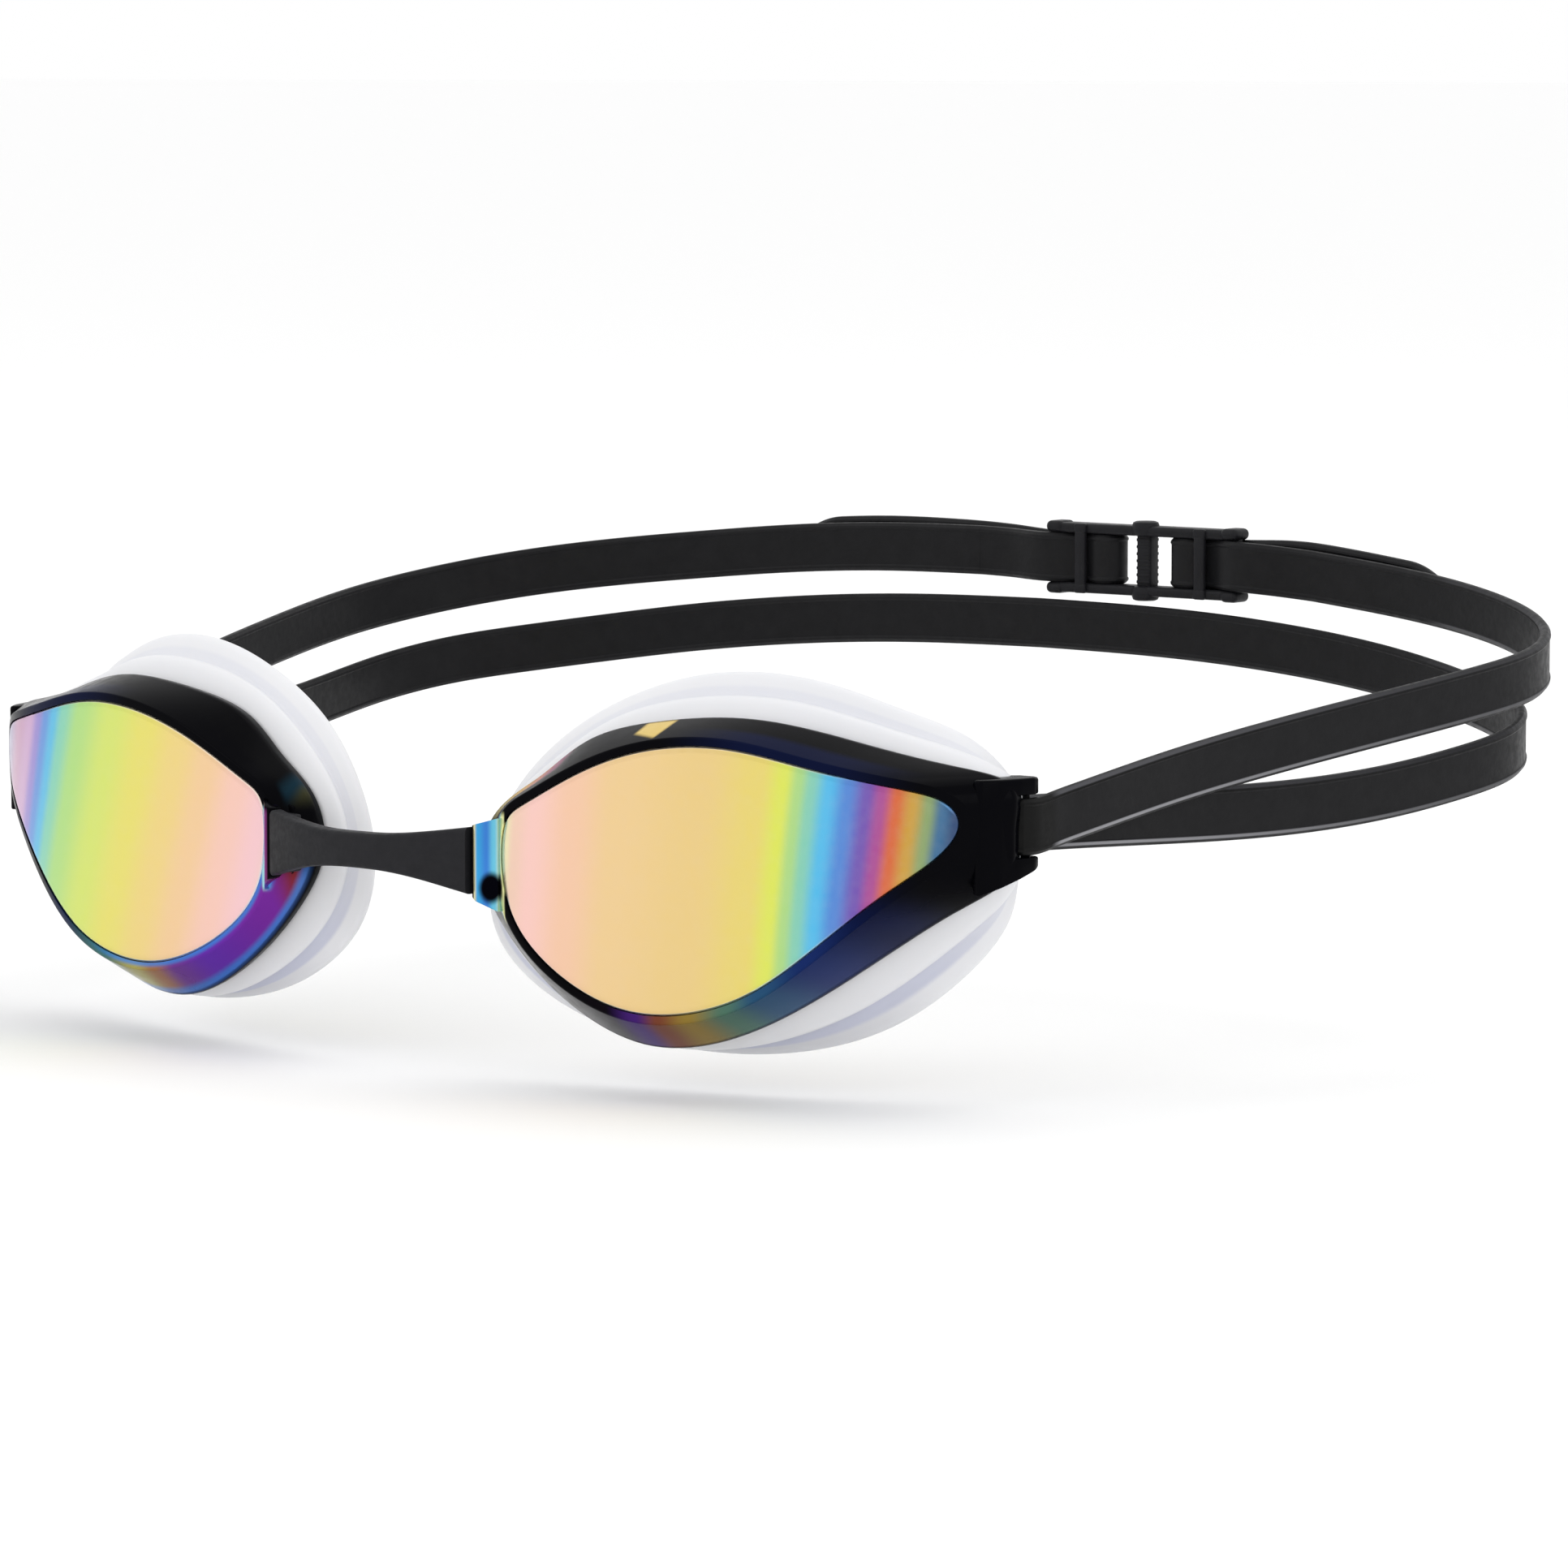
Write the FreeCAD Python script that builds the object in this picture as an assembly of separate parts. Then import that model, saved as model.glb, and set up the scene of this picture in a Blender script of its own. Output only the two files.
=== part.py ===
"""Racing swim goggles with mirrored lenses, white face gaskets, a flexible nose bridge and a doubled strap.

Millimetres. +X is the wearer's left, +Z is up, and the lenses look along -Y. Everything is drawn for the
wearer's left side, measured from the nose edge of the lens face, and mirrored for the right side. The whole
model is then moved so that the origin lies on the face, between the eyes, where the gaskets seal.
"""

import FreeCAD
import Part
import math
import os

V = FreeCAD.Vector

# ---- driving dimensions -------------------------------------------------------------------------------
SEAL_DEPTH = 10.0  # from the lens face at the nose back to the wearer's skin
LENS_THICK = 1.9
POCKET_GAP = 0.12  # between the lens edge and the rim around it
LIP_WIDTH = 0.85  # front edge of the rim, beside the lens
LEDGE_WIDTH = 1.2  # inward step that the lens rests on
RIM_BACK = 1.8  # depth of the rim behind its widest line
RIM_WALL = 2.6
SEAT_GAP = 0.2  # bond line between the rim and the gasket

STRAP_THICK = 1.3
STRAP_WIDTH = 6.4
BAR_X, BAR_Y = 75.0, 22.2  # strap bar at the temple
BAR_R = 1.1
FOLD_GAP = 0.05
WINDOW_LOW, WINDOW_HIGH = 2.3, 9.3  # opening between the two prongs that hold the strap bar
FORK_LOW, FORK_HIGH = 1.0, 11.2
FORK_SLANT = 2.9  # the lower prong deepens by this much towards the rim
FOLD_Z = 5.75
RUN_START_Y = 36.0  # the folded stretch of strap ends here and the free run starts
CUT_GAP = 0.1  # between two lengths of strap that meet end to end

BEAD_X, BEAD_Y = 16.6, 0.7  # round bead of the nose bridge, which the eye cup turns on
BEAD_R = 1.2
SOCKET_R = 1.26
BRIDGE_END_X = 14.9
BRIDGE_THICK = 2.5
TONGUE = 1.1

BUCKLE_X, BUCKLE_Y, BUCKLE_Z = 15.3, 131.5, 26.6
BUCKLE_HALF = 14.7
BUCKLE_HEIGHT = 9.0
RAIL = 1.2
BAR_W = 1.6  # width of a flat cross bar in the buckle
END_BAR_U, INNER_BAR_U, WRAP_BAR_U = 13.8, 9.3, 5.8  # cross bars, from the middle of the buckle
WRAP_R = 0.75
WRAP_W = 0.6
BRIDGE_BAR_U = 1.1
WOVEN_END_U = 26.0  # where the woven end of the strap meets the free run
WOVEN_GAP = 0.3

# ---- outlines, one entry per station, from the temple over the brow to the nose and back below ----------
FACE = [(72.7, 5.8), (71.4, 9.0), (66.5, 10.6), (58.5, 12.4), (49.5, 14.2), (40.0, 13.9), (30.5, 11.1),
        (22.2, 7.0), (18.6, 4.1), (18.2, -1.8), (20.8, -8.2), (28.0, -13.6), (37.5, -16.3), (47.5, -15.0),
        (56.0, -10.3), (64.8, -2.7), (70.2, 1.9)]
RIM = [(76.5, 19.0, 5.5), (76.0, 19.0, 10.5), (69.5, 17.0, 12.5), (60.5, 13.5, 14.5), (49.0, 9.0, 17.0),
       (37.0, 6.5, 16.5), (27.0, 5.5, 14.0), (20.5, 4.5, 9.5), (14.5, 3.5, 5.0), (12.5, 3.0, -2.0),
       (17.0, 3.0, -9.5), (24.5, 3.5, -16.0), (35.0, 5.0, -20.5), (46.5, 7.5, -19.0), (57.0, 12.0, -13.0),
       (68.0, 17.0, -5.0), (75.5, 19.0, 0.0)]
FLANGE = [(71.0, 27.0, 5.5), (70.0, 26.5, 10.5), (66.0, 24.0, 15.0), (59.5, 20.5, 18.0), (50.0, 17.0, 21.0),
          (38.5, 14.0, 21.5), (27.5, 12.0, 18.5), (18.0, 10.5, 13.0), (11.5, 9.0, 5.5), (9.0, 8.5, -2.5),
          (11.0, 8.0, -11.0), (20.5, 9.0, -18.0), (34.0, 11.5, -21.5), (48.0, 15.0, -21.5),
          (60.0, 20.0, -17.5), (68.5, 24.5, -9.5), (71.0, 26.5, -2.5)]
# plan line of the lens face: nearly flat over the eye, then wrapping back towards the temple
WRAP = [(12.0, 0.0), (19.0, 0.0), (33.0, 0.3), (41.0, 1.0), (48.5, 2.3), (55.5, 4.0), (62.0, 6.5),
        (68.0, 9.9), (72.2, 13.2), (77.0, 18.2)]
SAMPLES = 4  # points drawn per station

# free strap, from the temple to the middle of the back: the middle line of each strand
UPPER = [(77.0, 25.6, 6.2), (77.5, 29.0, 6.85), (80.0, 46.0, 9.8), (84.0, 64.0, 12.6), (87.8, 80.0, 14.8),
         (90.3, 93.0, 16.5), (90.5, 104.0, 18.0), (87.0, 112.5, 19.6), (80.5, 118.8, 21.2),
         (70.0, 124.5, 22.9), (55.8, 128.8, 24.5), (41.3, 130.9, 25.8)]
LOWER = [(73.3, 25.6, 5.6), (74.0, 29.0, 5.5), (77.4, 46.0, 4.9), (81.6, 64.0, 4.6), (85.4, 80.0, 5.4),
         (87.8, 93.0, 6.9), (88.0, 103.5, 8.5), (84.7, 111.0, 10.0), (78.6, 116.8, 11.3),
         (68.8, 122.2, 12.9), (55.0, 126.4, 14.9), (42.0, 128.4, 16.3), (22.0, 129.4, 17.6), (0.0, 129.6, 18.0)]
UPPER_RIGHT_BACK = [(-10.7, 131.3, 26.9), (-26.0, 131.3, 26.7), (-42.0, 130.6, 25.8)]
# loose strap past each end of the buckle, from the middle of the buckle outwards
TAIL_LEFT = [(21.5, 1.35, 0.2), (30.0, 0.5, -0.3), (38.0, -0.6, -1.1), (45.7, -2.2, -1.9)]
TAIL_RIGHT = [(21.5, 1.5, 0.5), (33.0, 1.5, 0.9), (44.0, 1.5, 0.8), (55.3, 1.2, 0.1)]


# ---- outline helpers ----------------------------------------------------------------------------------
def periodic(points):
    """Closed smooth curve through the points, one whole number of its parameter per point."""
    curve = Part.BSplineCurve()
    knots = [float(i) for i in range(len(points) + 1)]
    curve.interpolate(Points=[V(*p) for p in points], PeriodicFlag=True, Parameters=knots)
    return curve


def sampled(points):
    curve = periodic(points)
    return [curve.value(i / SAMPLES) for i in range(len(points) * SAMPLES)]


def moved_out(points, distance):
    """The outline grown by distance in the front view, measured square to its own line."""
    grown = []
    for i, p in enumerate(points):
        along = points[(i + 1) % len(points)] - points[i - 1]
        length = math.hypot(along.x, along.z)
        grown.append(V(p.x + distance * along.z / length, p.y, p.z - distance * along.x / length))
    return grown


def moved_back(points, distance):
    return [V(p.x, p.y + distance, p.z) for p in points]


def between(a, b, share):
    return [p + (q - p) * share for p, q in zip(a, b)]


WRAP_CURVE = Part.BSplineCurve()
WRAP_CURVE.interpolate([V(x, y, 0) for x, y in WRAP])


def face_y(x):
    """Depth of the lens face at a distance x from the middle of the nose."""
    low, high = WRAP_CURVE.FirstParameter, WRAP_CURVE.LastParameter
    for _ in range(40):
        middle = (low + high) / 2
        if WRAP_CURVE.value(middle).x < x:
            low = middle
        else:
            high = middle
    return WRAP_CURVE.value((low + high) / 2).y


def on_face(points, behind=0.0):
    return [V(p.x, face_y(p.x) + behind, p.z) for p in points]


FACE_LINE = sampled([(x, 0.0, z) for x, z in FACE])
RIM_LINE = sampled(RIM)
FLANGE_LINE = sampled(FLANGE)


# ---- solid helpers ------------------------------------------------------------------------------------
def sewn(faces):
    shell = Part.makeShell(faces)
    shell.sewShape()
    solid = Part.makeSolid(shell)
    if solid.Volume < 0:
        solid.reverse()
    return solid


def ring(lines):
    """Closed ring whose section has one corner per line."""
    edges = []
    for points in lines:
        curve = Part.BSplineCurve()
        curve.interpolate(Points=points, PeriodicFlag=True)
        edges.append(curve.toShape())
    faces = [Part.makeRuledSurface(a, b) for a, b in zip(edges, edges[1:] + edges[:1])]
    return sewn(faces)


def prism(points, direction):
    return Part.Face(Part.makePolygon(points + points[:1])).extrude(direction)


def band(points):
    """Length of strap whose middle line passes through the points, its width upright."""
    curve = Part.BSplineCurve()
    curve.interpolate([V(*p) for p in points])
    knots = curve.getKnots()
    stations = [a + (b - a) * i / 3 for a, b in zip(knots, knots[1:]) for i in range(3)] + [knots[-1]]
    sections = []
    for at in stations:
        along = curve.tangent(at)[0]
        flat = math.hypot(along.x, along.y)
        across = V(along.y / flat, -along.x / flat, 0) * (STRAP_THICK / 2)
        up = V(0, 0, STRAP_WIDTH / 2)
        middle = curve.value(at)
        corners = [middle - across - up, middle + across - up, middle + across + up, middle - across + up]
        sections.append(Part.makePolygon(corners + corners[:1]))
    return Part.makeLoft(sections, True, True)


def rounded(solid, radius, chosen):
    """The solid with the chosen edges rounded, or left alone if the kernel can't round them."""
    edges = [e for e in solid.Edges if chosen(e)]
    try:
        made = solid.makeFillet(radius, edges)
    except Part.OCCError:
        return solid
    return made if made.isValid() and made.Volume > 0 else solid


# ---- eye cup, wearer's left -----------------------------------------------------------------------------
def lens():
    """Curved sheet cut to the face outline, with a fine bevel round its front edge."""
    front = [V(x, y, -30) for x, y in WRAP]
    back = [V(x, y + LENS_THICK, -30) for x, y in WRAP]
    lines = []
    for points in (front, back):
        curve = Part.BSplineCurve()
        curve.interpolate(points)
        lines.append(curve.toShape())
    sides = [Part.makeLine(front[0], back[0]), Part.makeLine(front[-1], back[-1])]
    sheet = Part.Face(Part.Wire(Part.__sortEdges__(lines + sides))).extrude(V(0, 0, 60))
    outline = Part.BSplineCurve()
    outline.interpolate(Points=[V(p.x, -10, p.z) for p in FACE_LINE], PeriodicFlag=True)
    cutter = Part.Face(Part.Wire(outline.toShape())).extrude(V(0, 50, 0))
    made = sheet.common(cutter).Solids[0]
    front_edges = [e for e in made.Edges if e.Length > 60]
    front_edges.sort(key=lambda e: e.CenterOfMass.y)
    try:
        bevelled = made.makeChamfer(0.35, front_edges[:1])
        return bevelled if bevelled.isValid() else made
    except Part.OCCError:
        return made


def nose_lug():
    """Block at the nose edge with the round socket that the bridge's bead snaps into."""
    plan = [(17.9, -0.3), (16.1, -2.2), (15.5, -2.0), (15.1, 0.9), (15.0, 4.6), (17.4, 4.8), (17.9, 2.0)]
    front = [(14.0, 3.3), (18.6, 4.9), (18.6, -6.6), (14.0, -3.3)]
    block = prism([V(x, y, -12) for x, y in plan], V(0, 0, 24))
    return block.common(prism([V(x, -6, z) for x, z in front], V(0, 14, 0)))


def nose_socket():
    bore = Part.makeCylinder(SOCKET_R, 24, V(BEAD_X, BEAD_Y, -12))
    mouth = [(BEAD_X - 0.6, 0.78), (12.0, 1.5), (12.0, -1.5), (BEAD_X - 0.6, -0.78)]
    throat = prism([V(x, BEAD_Y + y, -12) for x, y in mouth], V(0, 0, 24))
    return bore.fuse(throat)


def temple_lug():
    """Fork that carries the strap bar: a solid root, then an upper and a lower prong."""
    plan = [(73.4, 15.6), (74.4, 15.6), (75.7, 17.6), (76.6, 20.2), (77.0, 22.4), (76.7, 23.4),
            (76.1, 23.7), (74.0, 23.7), (73.1, 22.9), (72.0, 19.0), (72.4, 17.0)]
    low, high = FORK_LOW - FORK_SLANT, FORK_HIGH
    root = prism([V(x, y, low) for x, y in plan], V(0, 0, high - low))
    slant = [(15.0, low), (24.0, FORK_LOW + 0.3), (24.0, low - 1), (15.0, low - 1)]
    window = Part.makeBox(20, 12, WINDOW_HIGH - WINDOW_LOW, V(62, 19.4, WINDOW_LOW))
    upright = [e for e in root.Edges if abs(e.tangentAt(e.FirstParameter).z) > 0.99]
    soft = root.makeFillet(0.35, upright)
    top = rounded(soft, 0.5, lambda e: e.BoundBox.ZMin > high - 0.01 or e.BoundBox.ZMax < low + 0.01)
    return top.cut(window).cut(prism([V(65, y, z) for y, z in slant], V(20, 0, 0)))


def rim():
    pocket = moved_out(FACE_LINE, POCKET_GAP)
    lip = moved_out(FACE_LINE, POCKET_GAP + LIP_WIDTH)
    ledge = moved_out(FACE_LINE, -LEDGE_WIDTH)
    back = moved_back(RIM_LINE, RIM_BACK)
    lines = [on_face(pocket), on_face(lip, 0.1), RIM_LINE, moved_out(back, -0.4),
             moved_out(back, -RIM_WALL), on_face(ledge, LENS_THICK + 0.6),
             on_face(ledge, LENS_THICK + 0.1), on_face(pocket, LENS_THICK + 0.1)]
    body = ring(lines).fuse(nose_lug()).fuse(temple_lug())
    room = Part.makeCylinder(BAR_R + STRAP_THICK + 0.5, WINDOW_HIGH - WINDOW_LOW, V(BAR_X, BAR_Y, WINDOW_LOW))
    bar = Part.makeCylinder(BAR_R, WINDOW_HIGH - WINDOW_LOW + 1.0, V(BAR_X, BAR_Y, WINDOW_LOW - 0.5))
    return body.cut(nose_socket()).cut(room).fuse(bar)


def gasket():
    """Soft seal: a base bonded behind the rim, a shallow groove, and a flange that rolls in to the skin."""
    seat = moved_back(RIM_LINE, RIM_BACK + SEAT_GAP)
    base = moved_out(seat, -0.5)
    swell = moved_out(between(seat, FLANGE_LINE, 0.4), 0.3)
    groove = moved_out(between(seat, FLANGE_LINE, 0.65), -0.6)
    skin = moved_back(FLANGE_LINE, 2.0)
    lines = [base, swell, groove, FLANGE_LINE, moved_out(moved_back(FLANGE_LINE, 1.2), -0.2),
             moved_out(skin, -1.8), moved_out(skin, -4.6), moved_out(moved_back(FLANGE_LINE, 0.6), -5.0),
             moved_out(between(seat, FLANGE_LINE, 0.6), -3.4), moved_out(moved_back(seat, 0.6), -RIM_WALL),
             moved_out(seat, -RIM_WALL)]
    plan = [(71.7, 16.0), (82.0, 16.0), (82.0, 32.0), (71.9, 32.0)]
    low, high = FORK_LOW - FORK_SLANT / 2, FORK_HIGH + 0.15
    return ring(lines).cut(prism([V(x, y, low) for x, y in plan], V(0, 0, high - low)))


# ---- nose bridge ------------------------------------------------------------------------------------------
def nose_bridge():
    """Flexible link, narrow over the nose and flared at both ends, with a bead beyond each end."""
    front = Part.Arc(V(-BRIDGE_END_X, -2.6, -9), V(0, -5.6, -9), V(BRIDGE_END_X, -2.6, -9)).toShape()
    rear = Part.Arc(V(-BRIDGE_END_X, -2.6 + BRIDGE_THICK, -9), V(0, -5.6 + BRIDGE_THICK, -9),
                    V(BRIDGE_END_X, -2.6 + BRIDGE_THICK, -9)).toShape()
    ends = [Part.makeLine(V(s * BRIDGE_END_X, -2.6, -9), V(s * BRIDGE_END_X, -2.6 + BRIDGE_THICK, -9))
            for s in (-1, 1)]
    plan = Part.Face(Part.Wire(Part.__sortEdges__([front, rear] + ends))).extrude(V(0, 0, 16))
    half_top = [(0, 2.35), (4.5, 2.4), (9.0, 2.8), (BRIDGE_END_X + 0.1, 3.6)]
    half_low = [(0, -1.8), (4.5, -1.95), (9.0, -2.6), (BRIDGE_END_X + 0.1, -4.1)]
    lines = []
    for half in (half_top, half_low):
        whole = [(-x, z) for x, z in half[:0:-1]] + half
        curve = Part.BSplineCurve()
        curve.interpolate([V(x, -8, z) for x, z in whole])
        lines.append(curve.toShape())
    sides = [Part.makeLine(V(s * half_top[-1][0], -8, half_top[-1][1]), V(s * half_low[-1][0], -8, half_low[-1][1]))
             for s in (-1, 1)]
    bone = Part.Face(Part.Wire(Part.__sortEdges__(lines + sides))).extrude(V(0, 14, 0))
    body = rounded(plan.common(bone).Solids[0], 0.45, lambda e: e.Length > 12)
    low, high = -3.7, 3.0
    for side in (-1, 1):
        tongue = Part.makeBox(BEAD_X - BRIDGE_END_X + 0.5, TONGUE, high - low, V(BRIDGE_END_X - 0.5, BEAD_Y - TONGUE / 2, low))
        root = Part.makeBox(1.3, BEAD_Y + TONGUE / 2 + 1.2, high - low, V(BRIDGE_END_X - 1.6, -1.2, low))
        bead = Part.makeCylinder(BEAD_R, high - low, V(BEAD_X, BEAD_Y, low))
        end = tongue.fuse(bead).fuse(root)
        body = body.fuse(end if side > 0 else end.mirror(V(), V(1, 0, 0)))
    return body.removeSplitter()


# ---- strap ------------------------------------------------------------------------------------------------
def turn(x, y, radius, start, stop, z):
    """Points round a vertical bar, from one angle to the other."""
    angles = [math.radians(start + (stop - start) * i / 6) for i in range(7)]
    return [(x + radius * math.cos(a), y + radius * math.sin(a), z) for a in angles]


def split_at_start(points):
    """The free run's points, behind the line where the folded stretch ends."""
    (x0, y0, z0), (x1, y1, z1) = points[1], points[2]
    share = (RUN_START_Y - y0) / (y1 - y0)
    return (x0 + (x1 - x0) * share, RUN_START_Y, z0 + (z1 - z0) * share)


def strap_fold():
    """Stretch folded round the strap bar: the outer leg starts the upper strand, the inner leg the lower."""
    radius = BAR_R + FOLD_GAP + STRAP_THICK / 2
    legs = []
    for points in (UPPER, LOWER):
        end = split_at_start(points)
        legs.append([points[0], points[1], (end[0], end[1] - CUT_GAP, end[2])])
    return band(legs[0][::-1] + turn(BAR_X, BAR_Y, radius, 0, -180, FOLD_Z) + legs[1])


def strap_upper(back):
    run = [split_at_start(UPPER)] + UPPER[2:]
    return band(run[:-1] + back if back else run)


def strap_lower():
    half = [split_at_start(LOWER)] + LOWER[2:]
    return band(half + [(-x, y, z) for x, y, z in half[-2::-1]])


def woven_end(tail, sink, drop):
    """Strap end threaded through one half of the buckle, drawn for the +X half from the middle outwards."""
    radius = WRAP_R + STRAP_THICK / 2
    main = [(WOVEN_END_U - WOVEN_GAP, sink, drop), (20.5, sink - 0.2, drop / 2), (END_BAR_U, -1.35, 0),
            (INNER_BAR_U, -0.1, 0),
            (WRAP_BAR_U + 1.2, WRAP_W - radius - 0.03, 0)]
    loose = [(WRAP_BAR_U + 1.2, WRAP_W + radius + 0.03, 0), (INNER_BAR_U, 1.6, 0), (END_BAR_U, 1.3, 0)]
    return band(main + turn(WRAP_BAR_U, WRAP_W, radius, -90, -270, 0) + loose + tail)


# ---- buckle -----------------------------------------------------------------------------------------------
def buckle():
    """Ladder frame with three cross bars on each side of a thick middle bar, all one moulding."""
    half, tall = BUCKLE_HALF, BUCKLE_HEIGHT / 2
    made = None
    for side in (-1, 1):
        z = side * (tall - RAIL / 2)
        rail = Part.makeBox(2 * half, 3.0, RAIL, V(-half, -1.5, z - RAIL / 2))
        rail = rounded(rail, 0.5, lambda e: e.Length > 2 * half - 0.1)
        made = rail if made is None else made.fuse(rail)
        boss = Part.makeCylinder(1.75, 1.9, V(0, -0.25, side * (tall - 1.3) - (1.9 if side < 0 else 0)))
        boss = rounded(boss, 0.5, lambda e: abs(abs(e.CenterOfMass.z) - (tall + 0.6)) < 0.05)
        made = made.fuse(boss)
        for end in (-1, 1):
            corner = Part.makeBox(3.4, 3.8, RAIL + 0.5, V(end * (half - 1.5) - 1.7, -1.9, z - RAIL / 2 - 0.25 + side * 0.25))
            corner = rounded(corner, 0.7, lambda e: e.Length > RAIL)
            made = made.fuse(corner)
    inner = BUCKLE_HEIGHT - RAIL
    for side in (-1, 1):
        flat = Part.makeBox(BAR_W, 0.9, inner, V(side * END_BAR_U - BAR_W / 2, -0.4, -inner / 2))
        front = Part.makeBox(BAR_W, 0.9, inner, V(side * INNER_BAR_U - BAR_W / 2, -2.0, -inner / 2))
        ears = Part.makeBox(BAR_W, 0.9, RAIL, V(side * INNER_BAR_U - BAR_W / 2, -2.0, tall - RAIL))
        ears = ears.fuse(ears.mirror(V(), V(0, 0, 1)))
        wrap = Part.makeCylinder(WRAP_R - FOLD_GAP, inner, V(side * WRAP_BAR_U, WRAP_W, -inner / 2))
        made = made.fuse(rounded(flat, 0.3, lambda e: e.Length > 5))
        made = made.fuse(rounded(front, 0.35, lambda e: e.Length > 5)).fuse(ears).fuse(wrap)
    middle = Part.makeBox(2 * BRIDGE_BAR_U, 2.2, inner, V(-BRIDGE_BAR_U, -0.9, -inner / 2))
    made = made.fuse(rounded(middle, 0.5, lambda e: e.Length > 5))
    return made.removeSplitter()


# ---- everything -------------------------------------------------------------------------------------------
def right(shape):
    return shape.mirror(V(), V(1, 0, 0))


def at_buckle(shape):
    placed = shape.copy()
    placed.translate(V(BUCKLE_X, BUCKLE_Y, BUCKLE_Z))
    return placed


def main():
    parts = {}
    for name, make in (("lens", lens), ("rim", rim), ("gasket", gasket), ("strap_fold", strap_fold)):
        shape = make()
        parts["left_" + name] = shape
        parts["right_" + name] = right(shape)
    parts["nose_bridge"] = nose_bridge()
    parts["strap_lower"] = strap_lower()
    parts["strap_upper_left"] = strap_upper([])
    mirrored_back = [(-x, y, z) for x, y, z in reversed(UPPER_RIGHT_BACK)]
    parts["strap_upper_right"] = right(strap_upper(mirrored_back))
    parts["buckle"] = at_buckle(buckle())
    parts["strap_end_left"] = at_buckle(woven_end(TAIL_LEFT, -0.6, -0.8))
    parts["strap_end_right"] = at_buckle(right(woven_end(TAIL_RIGHT, -0.2, 0.3)))
    os.makedirs("parts", exist_ok=True)
    for name, shape in parts.items():
        shape.translate(V(0, -SEAL_DEPTH, 0))
        shape.exportStep("parts/%s.step" % name)
        box = shape.BoundBox
        print("%-18s valid %-5s solids %d volume %8.2f  x %.1f..%.1f y %.1f..%.1f z %.1f..%.1f" % (
            name, shape.isValid(), len(shape.Solids), shape.Volume, box.XMin, box.XMax, box.YMin, box.YMax,
            box.ZMin, box.ZMax))


main()
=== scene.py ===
import bpy
import bmesh
import math
import numpy as np
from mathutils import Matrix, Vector


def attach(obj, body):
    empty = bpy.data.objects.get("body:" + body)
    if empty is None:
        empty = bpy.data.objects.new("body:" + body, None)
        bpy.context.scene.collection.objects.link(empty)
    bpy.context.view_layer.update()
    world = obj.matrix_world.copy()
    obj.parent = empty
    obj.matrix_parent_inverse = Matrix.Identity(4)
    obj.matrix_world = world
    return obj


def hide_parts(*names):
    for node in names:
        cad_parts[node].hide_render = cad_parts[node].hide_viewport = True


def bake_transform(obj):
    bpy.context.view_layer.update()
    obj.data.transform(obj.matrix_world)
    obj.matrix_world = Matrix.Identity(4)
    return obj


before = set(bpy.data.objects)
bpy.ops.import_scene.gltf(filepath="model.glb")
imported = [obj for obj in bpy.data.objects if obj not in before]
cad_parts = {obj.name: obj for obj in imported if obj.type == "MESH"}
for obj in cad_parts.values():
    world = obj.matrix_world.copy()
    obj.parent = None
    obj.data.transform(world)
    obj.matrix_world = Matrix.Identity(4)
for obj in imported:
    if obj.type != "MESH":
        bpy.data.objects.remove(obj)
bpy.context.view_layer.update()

# Shapes are worked out in millimetres, with y measured from the lens face. The frame's y starts SEAL behind it,
# at the wearer's face.
SEAL = 10.0
LENS_T, POCKET, LIP, LEDGE = 1.9, 0.12, 0.85, 1.2
RIM_BACK, RIM_WALL, SEAT_GAP = 1.8, 2.6, 0.2
STRAP_W = 6.4
BAR_X, BAR_Y, BAR_R = 75.0, 22.2, 1.1
WIN_LOW, WIN_HIGH, FORK_LOW, FORK_HIGH, SLANT = 2.3, 9.3, 1.0, 11.2, 2.9
FOLD_Z = 5.75

FACE = [(72.7, 5.8), (71.4, 9.0), (66.5, 10.6), (58.5, 12.4), (49.5, 14.2), (40.0, 13.9), (30.5, 11.1),
        (22.2, 7.0), (18.6, 4.1), (18.2, -1.8), (20.8, -8.2), (28.0, -13.6), (37.5, -16.3), (47.5, -15.0),
        (56.0, -10.3), (64.8, -2.7), (70.2, 1.9)]
RIM = [(76.5, 19.0, 5.5), (76.0, 19.0, 10.5), (69.5, 17.0, 12.5), (60.5, 13.5, 14.5), (49.0, 9.0, 17.0),
       (37.0, 6.5, 16.5), (27.0, 5.5, 14.0), (20.5, 4.5, 9.5), (14.5, 3.5, 5.0), (12.5, 3.0, -2.0),
       (17.0, 3.0, -9.5), (24.5, 3.5, -16.0), (35.0, 5.0, -20.5), (46.5, 7.5, -19.0), (57.0, 12.0, -13.0),
       (68.0, 17.0, -5.0), (75.5, 19.0, 0.0)]
FLANGE = [(71.0, 27.0, 5.5), (70.0, 26.5, 10.5), (66.0, 24.0, 15.0), (59.5, 20.5, 18.0), (50.0, 17.0, 21.0),
          (38.5, 14.0, 21.5), (27.5, 12.0, 18.5), (18.0, 10.5, 13.0), (11.5, 9.0, 5.5), (9.0, 8.5, -2.5),
          (11.0, 8.0, -11.0), (20.5, 9.0, -18.0), (34.0, 11.5, -21.5), (48.0, 15.0, -21.5),
          (60.0, 20.0, -17.5), (68.5, 24.5, -9.5), (71.0, 26.5, -2.5)]
WRAP = [(12.0, 0.0), (19.0, 0.0), (33.0, 0.3), (41.0, 1.0), (48.5, 2.3), (55.5, 4.0), (62.0, 6.5),
        (68.0, 9.9), (72.2, 13.2), (77.0, 18.2)]
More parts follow.
